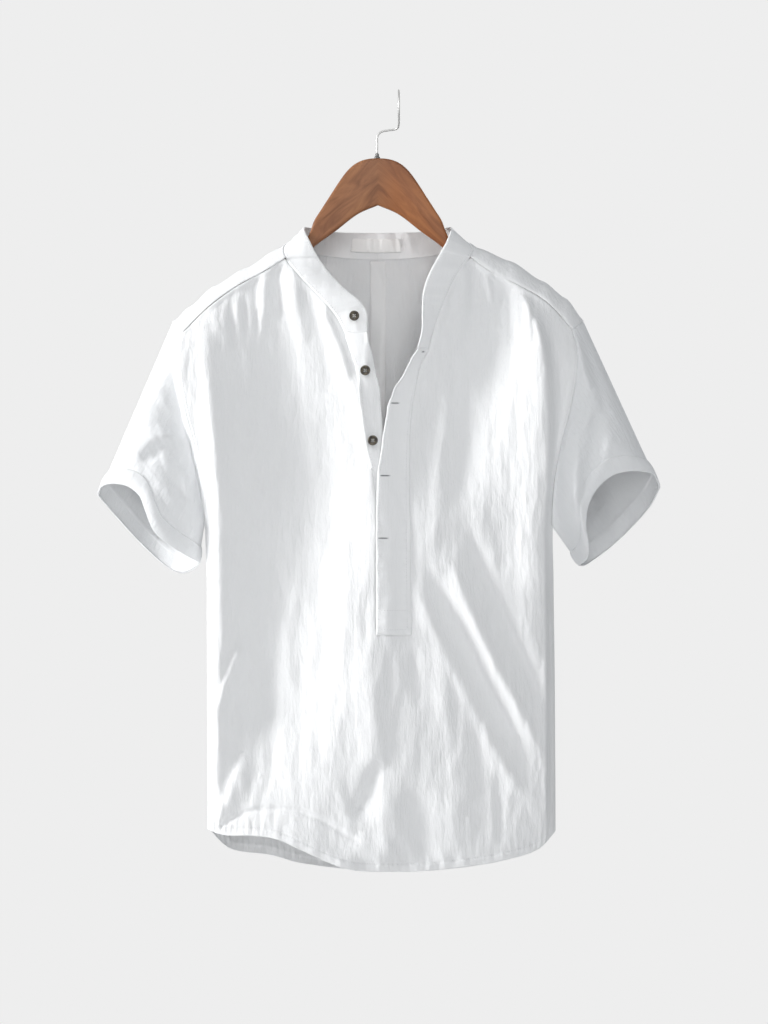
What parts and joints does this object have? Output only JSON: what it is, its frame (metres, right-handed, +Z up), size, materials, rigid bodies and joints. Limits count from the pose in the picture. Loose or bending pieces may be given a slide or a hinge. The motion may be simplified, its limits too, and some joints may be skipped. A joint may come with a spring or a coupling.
{
  "type": "short-sleeved mandarin collar shirt on a wooden hanger",
  "caption": "White crinkled short-sleeved shirt with a mandarin collar and a half placket, hung open-necked on a wooden hanger with a wire hook.",
  "frame": {"origin": "the inner crest of the hanger's hook, where the rail or peg that carries it bears", "axes": "+Z up, +X to the viewer's right as the shirt is seen from the front, the front faces -Y"},
  "size_m": [0.6458, 0.1076, 0.8997],
  "materials": {
    "cloth": "crinkled linen and cotton, matte",
    "strip": "plain cotton tape, matte",
    "label": "bare woven label, matte",
    "button": "dark horn, satin",
    "wood": "brown stain, satin",
    "wire": "bright wire"
  },
  "bodies": {
    "root": {"front_panel": "cloth", "back_panel": "cloth", "back_strip": "strip", "sleeve_left": "cloth", "cuff_left": "cloth", "sleeve_right": "cloth", "cuff_right": "cloth", "collar_band": "cloth", "under_placket": "cloth", "over_placket": "cloth", "neck_label": "label", "button_1": "button", "button_2": "button", "button_3": "button", "button_4": "button", "hanger_body": "wood", "hanger_ferrule": "wire", "hanger_hook": "wire"}
  },
  "joints": []
}
